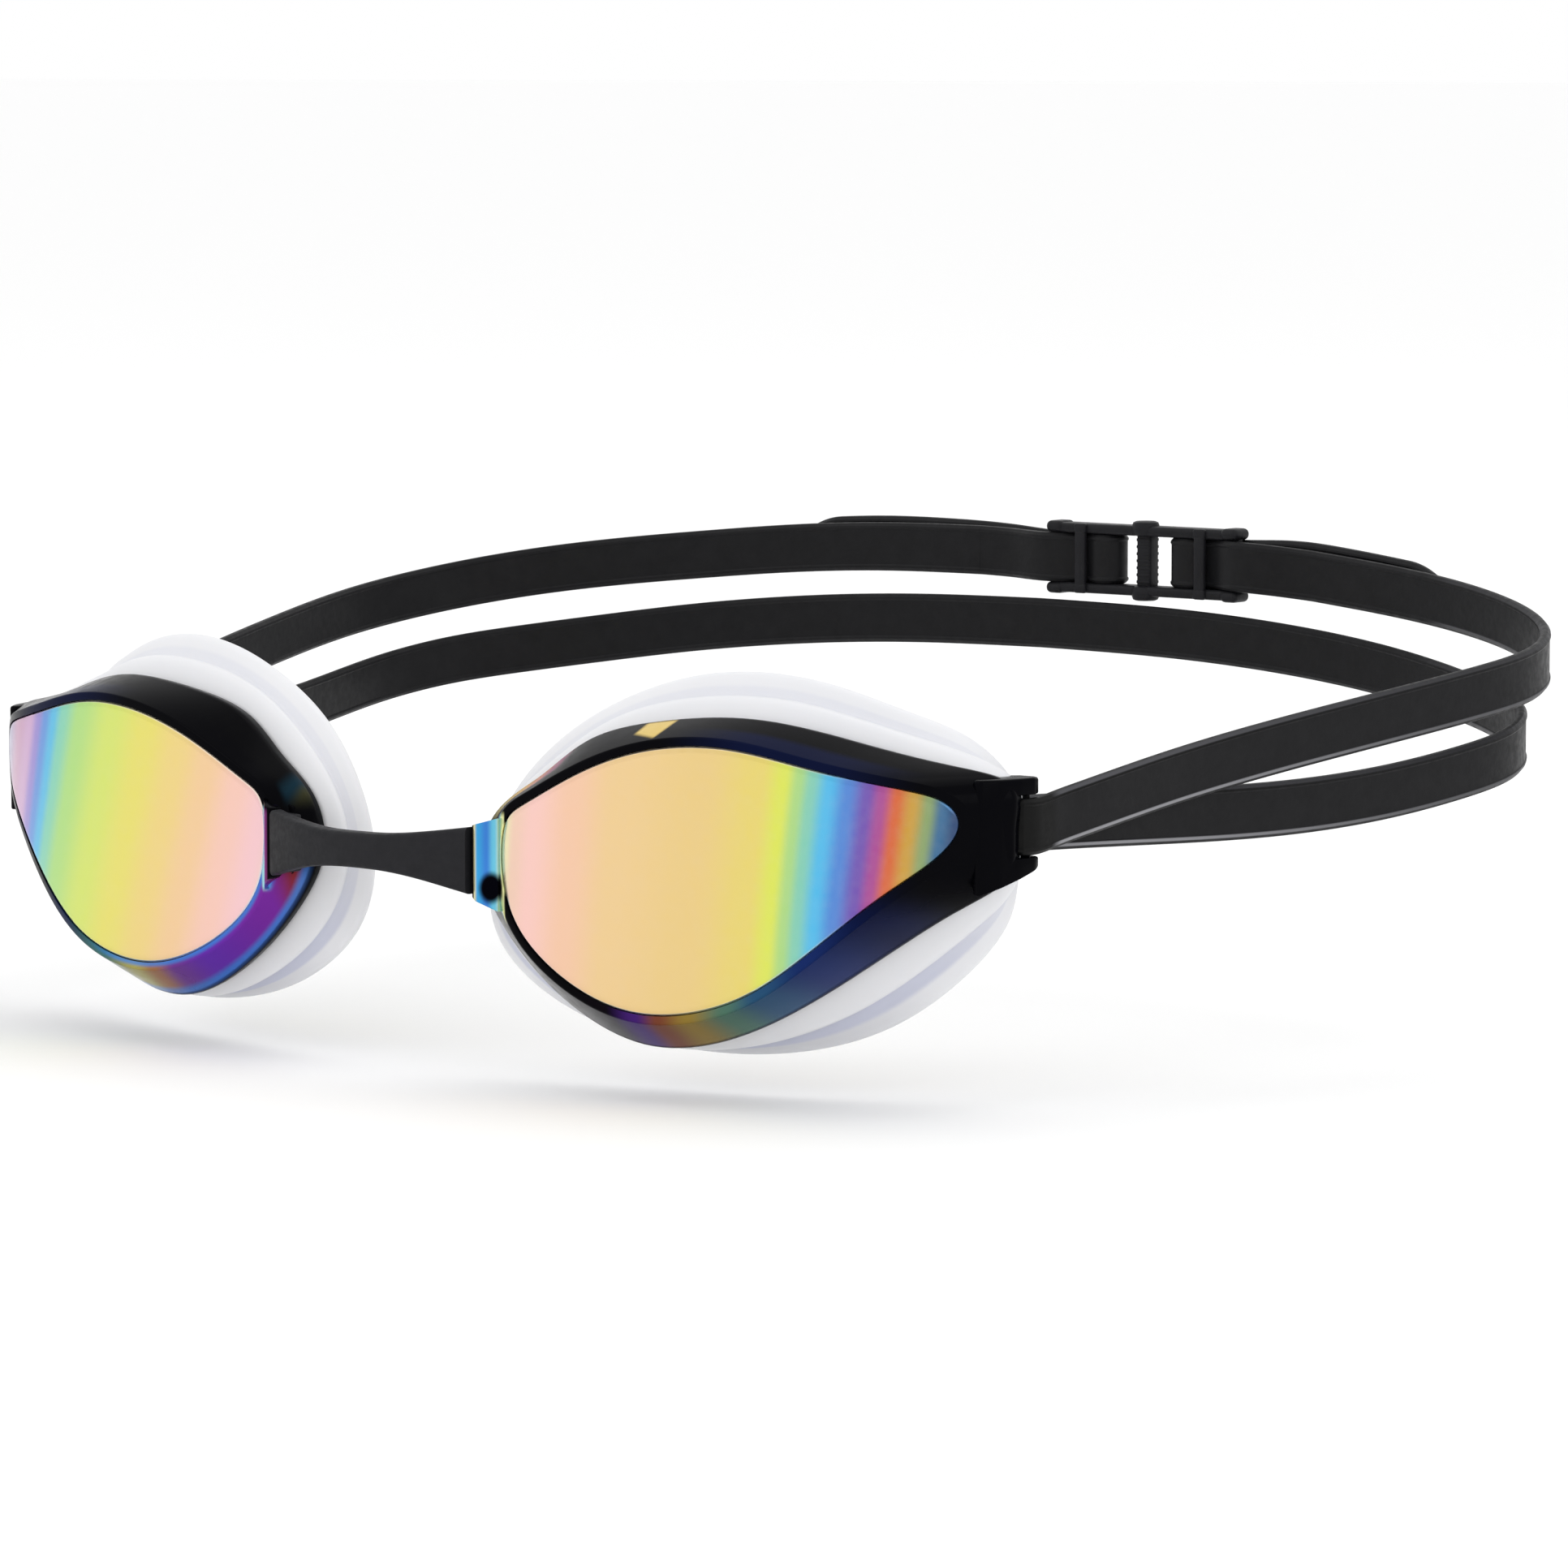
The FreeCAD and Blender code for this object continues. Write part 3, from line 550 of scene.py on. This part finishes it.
def lens_piece(name, flip):
    middle = np.array([44.0, 0.0, -0.8])
    rows = [on_face(out(face_line, -0.05), LENS_T), on_face(face_line, LENS_T - 0.2), on_face(face_line, 0.40),
            on_face(out(face_line, -0.06), 0.22), on_face(out(face_line, -0.22), 0.06),
            on_face(out(face_line, -0.42), 0.0)]
    inner = out(face_line, -0.9)
    for share in [1.0, 0.93, 0.86, 0.78, 0.7, 0.61, 0.52, 0.43, 0.34, 0.25, 0.16, 0.08]:
        rows.append(on_face(middle + (inner - middle) * share))
    grid = np.stack(rows, axis=0)
    n, m = grid.shape[:2]
    points = [tuple(p) for p in grid.reshape(-1, 3)]
    faces = [(i * m + j, i * m + (j + 1) % m, (i + 1) * m + (j + 1) % m, (i + 1) * m + j)
             for i in range(n - 1) for j in range(m)]
    points.append((44.0, float(face_y(44.0)), -0.8))
    faces += [((n - 1) * m + j, (n - 1) * m + (j + 1) % m, len(points) - 1) for j in range(m)]
    start = len(points)
    for share in (0.985, 0.8, 0.6, 0.4, 0.2):
        points += [tuple(p) for p in on_face(middle + (face_line - middle) * share, LENS_T)]
    faces += [(j, start + j, start + (j + 1) % m, (j + 1) % m) for j in range(m)]
    for i in range(4):
        a, b = start + i * m, start + (i + 1) * m
        faces += [(a + (j + 1) % m, a + j, b + j, b + (j + 1) % m) for j in range(m)]
    points.append((44.0, float(face_y(44.0)) + LENS_T, -0.8))
    faces += [(start + 4 * m + (j + 1) % m, start + 4 * m + j, len(points) - 1) for j in range(m)]
    inward = [0.0, 0.0, 0.0, 0.3, 0.55, 0.8] + [1.0] * (n - 6)
    uv = [(j / m, inward[i]) for i in range(n) for j in range(m)]
    obj = make(name, points, faces, flip, 25.0, uv + [(0.0, 1.0)] + [(0.0, 0.0)] * (len(points) - n * m - 1))
    bm = bmesh.new()
    bm.from_mesh(obj.data)
    bmesh.ops.recalc_face_normals(bm, faces=bm.faces)
    bm.to_mesh(obj.data)
    bm.free()
    return obj


def rim_pieces(name, flip):
    pocket, lip = out(face_line, 0.03), out(face_line, POCKET + LIP)
    ledge, rear = out(face_line, -LEDGE), back(rim_line, RIM_BACK)
    lines = [on_face(pocket), on_face(lip, 0.1), rim_line, out(rear, -0.4), out(rear, -RIM_WALL),
             on_face(ledge, LENS_T + 0.6), on_face(ledge, LENS_T + 0.1), on_face(pocket, LENS_T + 0.1)]
    grid = rounded_section(lines, [0.1, 0.22, 0.5, 0.4, 0.3, 0.1, 0.1, 0.05])
    ring = ring_piece(name, grid, flip)
    low = FORK_LOW - SLANT
    plan = [(73.4, 15.6), (74.4, 15.6), (75.7, 17.6), (76.6, 20.2), (77.0, 22.4), (76.7, 23.4),
            (76.1, 23.7), (74.0, 23.7), (73.1, 22.9), (72.0, 19.0), (72.4, 17.0)]
    under = prism([(15.0, low), (24.0, FORK_LOW + 0.3), (24.0, low - 3), (15.0, low - 3)], 60.0, 90.0, 0, 0)
    fork = carved(name + "_fork", prism(plan, low - 1, FORK_HIGH, 0.35),
                  [prism([(62.0, 19.4), (82.0, 19.4), (82.0, 31.0), (62.0, 31.0)], WIN_LOW, WIN_HIGH, 0), under],
                  radius=0.22)
    bar = rod((BAR_X, BAR_Y), BAR_R, WIN_LOW - 0.5, WIN_HIGH + 0.5, 0.1)
    lug_plan = [(17.9, -0.3), (16.1, -2.2), (15.5, -2.0), (15.1, 0.9), (15.0, 4.6), (17.4, 4.8), (17.9, 2.0)]
    lug = carved(name + "_lug", prism(lug_plan, -7.5, 5.5, 0),
                 [prism([(13.0, 2.95), (19.2, 5.1), (19.2, 9.0), (13.0, 9.0)], -9.0, 9.0, 0, 1),
                  prism([(13.0, -2.6), (19.2, -7.0), (19.2, -12.0), (13.0, -12.0)], -9.0, 9.0, 0, 1),
                  rod((16.6, 0.7), 1.26, -14.0, 12.0, 0.01),
                  prism([(16.0, 1.48), (12.0, 2.2), (12.0, -0.8), (16.0, -0.08)], -14.0, 12.0, 0)], radius=0.15)
    extra = joined(name + "_lugs", [fork, bar, lug], flip)
    return ring, extra


def gasket_piece(name, flip):
    seat = back(rim_line, RIM_BACK + SEAT_GAP)
    mid = lambda share: seat + (flange_line - seat) * share
    skin = back(flange_line, 2.0)
    lines = [out(seat, -0.5), out(mid(0.4), 0.3), out(mid(0.65), -1.0), flange_line,
             out(back(flange_line, 1.2), -0.2), out(skin, -1.8), out(skin, -4.6),
             out(back(flange_line, 0.6), -5.0), out(mid(0.6), -3.4), out(back(seat, 0.6), -RIM_WALL),
             out(seat, -RIM_WALL)]
    grid = rounded_section(lines, [0.3, 1.2, 1.0, 1.1, 0.9, 1.2, 0.5, 0.5, 1.5, 0.3, 0.2])
    return ring_piece(name, grid, flip, 60.0)


for side, flip in (("left", False), ("right", True)):
    cup = side + "_cup"
    film = LENS_RIGHT if flip else LENS_LEFT
    dress(lens_piece(side + "_mirror_lens", flip), film, cup, [side + "_lens"])
    ring, extra = rim_pieces(side + "_rim_moulding", flip)
    mat = RIM_RIGHT if flip else RIM_LEFT
    dress(ring, mat, cup, [side + "_rim"])
    dress(extra, mat, cup, [side + "_rim"])
    dress(gasket_piece(side + "_face_seal", flip), WHITE, cup, [side + "_gasket"])


# ---- nose bridge ----------------------------------------
def bridge_piece():
    top, _ = natural([(-15.0, 3.6, 0), (-9.0, 2.8, 0), (-4.5, 2.4, 0), (0, 2.35, 0), (4.5, 2.4, 0),
                      (9.0, 2.8, 0), (15.0, 3.6, 0)])
    low, _ = natural([(-15.0, -4.1, 0), (-9.0, -2.6, 0), (-4.5, -1.95, 0), (0, -1.8, 0), (4.5, -1.95, 0),
                      (9.0, -2.6, 0), (15.0, -4.1, 0)])
    tops, lows = top(np.linspace(0, 40, 400)), low(np.linspace(0, 40, 400))
    rows = []
    for x in np.linspace(-14.95, 14.95, 61):
        sag = 3.0 * (x / 14.9)**2
        front, rear = -5.6 + sag, -5.6 + sag + 2.5
        hi, lo = np.interp(x, tops[:, 0], tops[:, 1]), np.interp(x, lows[:, 0], lows[:, 1])
        corners = [(front, hi), (rear, hi), (rear, lo), (front, lo)]
        row = []
        for i in range(4):
            p, q, r = np.array(corners[i - 1]), np.array(corners[i]), np.array(corners[(i + 1) % 4])
            a = q + (p - q) / np.linalg.norm(p - q) * 0.7
            b = q + (r - q) / np.linalg.norm(r - q) * 0.7
            for t in (0.0, 0.25, 0.5, 0.75, 1.0):
                c = (1 - t)**2 * a + 2 * t * (1 - t) * q + t**2 * b
                row.append((x, c[0], c[1]))
        rows.append(row)
    return tube_piece("nose_bridge_link", np.array(rows))


dress(bridge_piece(), BRIDGE, "bridge", ["nose_bridge"])
hooks = []
for s in (-1, 1):
    x0, x1 = sorted((s * 13.3, s * 14.6))
    hooks.append(box_piece((x0, -1.2, -3.7), (x1, 1.25, 3.0), 0.3))
    x0, x1 = sorted((s * 14.4, s * 16.6))
    hooks.append(box_piece((x0, 0.15, -3.7), (x1, 1.25, 3.0), 0.1))
    hooks.append(rod((s * 16.6, 0.7), 1.2, -3.7, 3.0, 0.2))
dress(joined("nose_bridge_hooks", hooks), BRIDGE, "bridge", ["nose_bridge"])


# ---- strap ----------------------------------------
# Half of the band's section, as thickness and width: flat face, fine raised line, chamfered edge.
SECTION = [(0.57, 0.0), (0.57, 2.3), (0.70, 2.5), (0.66, 2.75), (0.34, 3.12), (0.12, 3.2)]
PROFILE = SECTION[1:] + [(-t, w) for t, w in reversed(SECTION[1:])] + [(-SECTION[0][0], 0.0)]
PROFILE += [(-t, -w) for t, w in SECTION[1:]] + [(t, -w) for t, w in reversed(SECTION[1:])] + [SECTION[0]]
ACROSS = [0.5 + w / STRAP_W for t, w in PROFILE]  # from the band's lower edge to its upper one


def strap_rows(points, step=1.1, tip=0.0):
    curve, at = natural(points)
    count = max(2, int(at[-1] / step))
    u = np.linspace(0, at[-1], count + 1)
    centre = curve(u)
    along = np.gradient(centre, axis=0)
    flat = np.hypot(along[:, 0], along[:, 1])
    across = np.stack([along[:, 1] / flat, -along[:, 0] / flat, np.zeros(len(flat))], axis=1)
    width = np.ones(len(u))
    if tip:
        width -= 0.4 * np.clip((u - at[-1] + tip) / tip, 0, 1)**2
    up = np.stack([0 * width, 0 * width, width], axis=1)
    grid = np.stack([centre + across * t + up * w for t, w in PROFILE], axis=1)
    return centre, grid


turn = [(BAR_X + 1.8 * math.cos(a), BAR_Y + 1.8 * math.sin(a), FOLD_Z)
        for a in [math.radians(-30 * i) for i in range(7)]]
# The upper run ends beside the buckle, which sits to the wearer's left of the middle.
UPPER_BACK = {"left": [UPPER[-1]],
              "right": [(42.0, 130.6, 25.8), (26.0, 131.3, 26.7), (10.7, 131.3, 26.9)]}


def nearest(values, wanted):
    return int(np.argmin(np.abs(values - wanted)))


def strap_piece(name, rows, first, last, caps, flip, mode, nodes):
    obj = tube_piece(name, rows[first:last + 1], caps, flip, 28.0, ACROSS)
    obj.data.materials.clear()
    obj.data.materials.append(STRAP)
    if mode[0] == "ride":
        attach(obj, mode[1])
    else:
        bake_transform(obj)
    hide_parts(*nodes)
    return obj


for side, flip in (("left", False), ("right", True)):
    s = -1 if flip else 1
    upper = UPPER[:-1] + UPPER_BACK[side]
    path = list(reversed(upper)) + turn + list(LOWER)
    centre, rows = strap_rows(path)
    bar_at = int(np.argmin(centre[:, 1]))
    n = len(rows)
    lead_x = 60.0 if side == "left" else 30.0
    near_buckle = nearest(centre[:bar_at, 0], lead_x)
    a, b = nearest(centre[:bar_at, 1], 88.0), nearest(centre[:bar_at, 1], 36.0)
    c, d = bar_at + nearest(centre[bar_at:, 1], 36.0), bar_at + nearest(centre[bar_at:, 1], 88.0)
    lead_from, lead_to = (58.0, 43.0) if side == "left" else (28.0, 12.5)
    cup = side + "_cup"
    strap_piece("strap_fold_" + side, rows, b, c, (False, False), flip,
                ("blend", cup, "bridge", (s * 75, 25.0, 6), (s * 76, 36.0, 6)), [side + "_strap_fold"])
    strap_piece("strap_upper_front_" + side, rows, a, b, (False, False), flip,
                ("blend", "bridge", "upper_strap", (s * 77, 36.0, 8), (s * 88, 80.0, 12)),
                ["strap_upper_" + side])
    strap_piece("strap_upper_rear_" + side, rows, near_buckle, a, (False, False), flip,
                ("ride", "upper_strap"), ["strap_upper_" + side])
    strap_piece("strap_upper_lead_" + side, rows, 0, near_buckle, (False, False), flip,
                ("blend", "upper_strap", "buckle",
                 (s * lead_from, 130, 26), (s * lead_to, 130, 26)),
                ["strap_upper_" + side])
    strap_piece("strap_lower_front_" + side, rows, c, d, (False, False), flip,
                ("blend", "bridge", "lower_strap", (s * 77, 36.0, 6), (s * 88, 80.0, 6)), ["strap_lower"])
    strap_piece("strap_lower_rear_" + side, rows, d, n - 1, (False, False), flip,
                ("ride", "lower_strap"), ["strap_lower"])


def woven(sink, drop, side):
    """Strap end from the free run, under the end bar, round the wrap bar and back out as the loose tail."""
    s = 1 if side == "left" else -1
    wrap_x, wrap_y, r = WRAP_BAR_U, WRAP_W, 1.4
    path = [(26.0, sink, drop), (20.5, sink - 0.2, drop / 2), (END_BAR_U, -1.35, 0), (INNER_BAR_U, -0.1, 0)]
    path += [(wrap_x + 1.2, wrap_y - r - 0.03, 0)]
    path += [(wrap_x + r * math.cos(a), wrap_y + r * math.sin(a), 0)
             for a in [math.radians(-90 - 30 * i) for i in range(7)]]
    path += [(wrap_x + 1.2, wrap_y + r + 0.03, 0), (INNER_BAR_U, 1.6, 0), (END_BAR_U, 1.3, 0)] + TAILS[side]
    path = [(BUCKLE[0] * s + u, BUCKLE[1] + v, BUCKLE[2] + w) for u, v, w in path]
    centre, rows = strap_rows(path, 0.5, 5.0)
    strap_piece("strap_end_woven_" + side, rows, 0, len(rows) - 1, (False, True), side == "right",
                ("ride", "buckle"), ["strap_end_" + side])


woven(-0.6, -0.8, "left")
woven(-0.2, 0.3, "right")


# ---- buckle ----------------------------------------
def buckle_piece():
    half, tall, rail = BUCKLE_HALF, BUCKLE_TALL, BUCKLE_RAIL
    inner = tall - rail
    solids = []
    for s in (-1, 1):
        lo, hi = sorted((s * inner, s * tall))
        solids.append(box_piece((-half + 0.4, -1.5, lo), (half - 0.4, 1.5, hi), 0.45, 4))
        solids.append(rod((0, -0.25), 1.75, *sorted((s * inner, s * (tall + 0.6))), 0.5))
        for e in (-1, 1):
            lo2, hi2 = sorted((s * inner, s * (tall + 0.2)))
            x0, x1 = sorted((e * (half - 2.4), e * (half + 0.2)))
            solids.append(box_piece((x0, -1.75, lo2), (x1, 1.75, hi2), 0.7, 5))
            x0, x1 = sorted((e * 8.4, e * 10.2))
            solids.append(box_piece((x0, -2.0, min(lo, hi)), (x1, -1.1, max(lo, hi)), 0.3, 3))
    for e in (-1, 1):
        solids.append(box_piece((e * END_BAR_U - 0.8, -0.4, -BAR_Z), (e * END_BAR_U + 0.8, 0.5, BAR_Z), 0.3))
        low, high = (e * INNER_BAR_U - 0.8, -2.0, -BAR_Z), (e * INNER_BAR_U + 0.8, -1.1, BAR_Z)
        solids.append(box_piece(low, high, 0.35, 4))
        solids.append(rod((e * WRAP_BAR_U, WRAP_W), 0.7, -BAR_Z, BAR_Z, 0.1))
    solids.append(box_piece((-1.07, -0.87, -BAR_Z), (1.07, 1.27, BAR_Z), 0.4, 4))
    for i in range(7):
        z = -2.7 + i * 0.9
        solids.append(box_piece((-1.0, -0.93, z - 0.2), (1.0, 1.3, z + 0.2), 0.1, 3))
    return joined("ladder_buckle", solids, offset=BUCKLE)


dress(buckle_piece(), BUCKLE_MAT, "buckle", ["buckle"])


# ---- floor, light and camera ----------------------------------------
def plain(name, shade, rough=0.9):
    m = Material(name, Roughness=rough)
    m.link(m.mix(m.noise(3.0, 2.0), colour(shade), colour(shade)), "Base Color")
    return m.mat


floor_z = -0.0265
mesh = bpy.data.meshes.new("floor")
corners = [(x, y, floor_z) for x, y in ((-30, -30), (30, -30), (30, 30), (-30, 30))]
mesh.from_pydata(corners, [], [(0, 1, 2, 3)])
floor = bpy.data.objects.new("floor", mesh)
bpy.context.scene.collection.objects.link(floor)
mesh.materials.append(plain("floor_paper", "fdfdfd"))

world = bpy.data.worlds.new("studio") if not bpy.context.scene.world else bpy.context.scene.world
bpy.context.scene.world = world
world.use_nodes = True
world.node_tree.nodes["Background"].inputs[0].default_value = (1.0, 1.0, 1.0, 1.0)
world.node_tree.nodes["Background"].inputs[1].default_value = 1.0


def softbox(name, place, target, size, power):
    light = bpy.data.lights.new(name, "AREA")
    light.shape, light.size, light.size_y, light.energy = "RECTANGLE", size[0], size[1], power
    obj = bpy.data.objects.new(name, light)
    obj.location = place
    obj.rotation_euler = (Vector(target) - Vector(place)).to_track_quat("-Z", "Y").to_euler()
    bpy.context.scene.collection.objects.link(obj)


softbox("key", (-0.5, -1.1, 1.0), (0, 0.02, 0), (0.7, 0.7), 1.6)
softbox("side", (1.3, -0.3, 0.5), (0, 0.02, 0), (0.5, 0.5), 1.0)
softbox("top", (0.2, 0.5, 1.3), (0, 0.05, 0), (0.9, 0.9), 2.0)

AZIMUTH, ELEVATION, DISTANCE = math.radians(38.0), math.radians(5.83), 0.819
towards = Vector((math.sin(AZIMUTH) * math.cos(ELEVATION), -math.cos(AZIMUTH) * math.cos(ELEVATION),
                  math.sin(ELEVATION)))
right = Vector((math.cos(AZIMUTH), math.sin(AZIMUTH), 0))
above = towards.cross(right)
target = right * 0.0465 + above * 0.0074 + Vector((0, -SEAL / 1000, 0))
lens = bpy.data.cameras.new("camera")
lens.lens, lens.sensor_width = 162.95, 36.0
camera = bpy.data.objects.new("camera", lens)
camera.location = target + towards * DISTANCE
camera.rotation_euler = (-towards).to_track_quat("-Z", "Y").to_euler()
lens.clip_start = 0.01
bpy.context.scene.collection.objects.link(camera)
bpy.context.scene.camera = camera
bpy.context.scene.view_settings.view_transform = "Standard"
